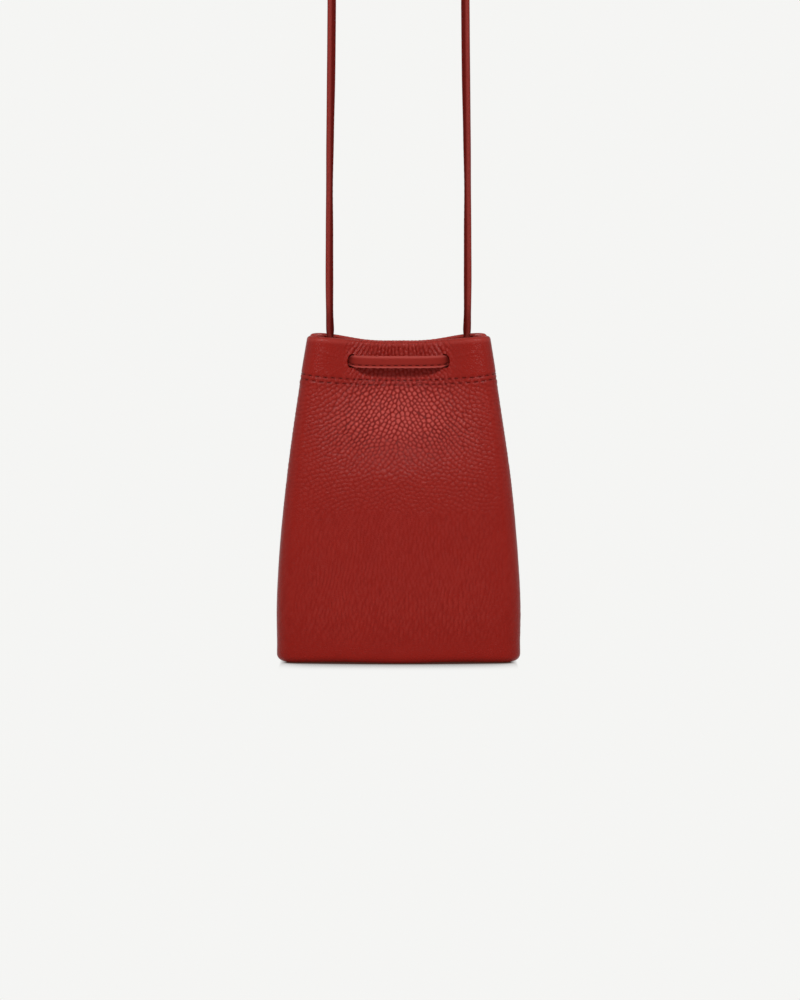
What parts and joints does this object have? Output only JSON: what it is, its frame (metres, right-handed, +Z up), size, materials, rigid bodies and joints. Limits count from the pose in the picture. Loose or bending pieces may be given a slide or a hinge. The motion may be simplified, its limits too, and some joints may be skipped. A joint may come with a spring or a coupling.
{
  "type": "drawstring pouch",
  "caption": "Soft leather kinchaku pouch on a flat base, with a turned hem, a mouth drawn into gathers by strap loops through slits, and upright strap strands.",
  "frame": {"origin": "middle of the base, on the surface that the pouch stands on", "axes": "+Z up to the mouth, +X to the right seen from the front, and the front faces -Y"},
  "size_m": [0.136, 0.062, 0.4255],
  "materials": {
    "body_leather": "pebbled red leather, soft sheen",
    "strap_leather": "smooth red leather, stitched along one edge"
  },
  "bodies": {
    "root": {"front_panel": "body_leather", "back_panel": "body_leather", "base_panel": "body_leather", "front_strap": "strap_leather", "back_strap": "strap_leather"}
  },
  "joints": []
}
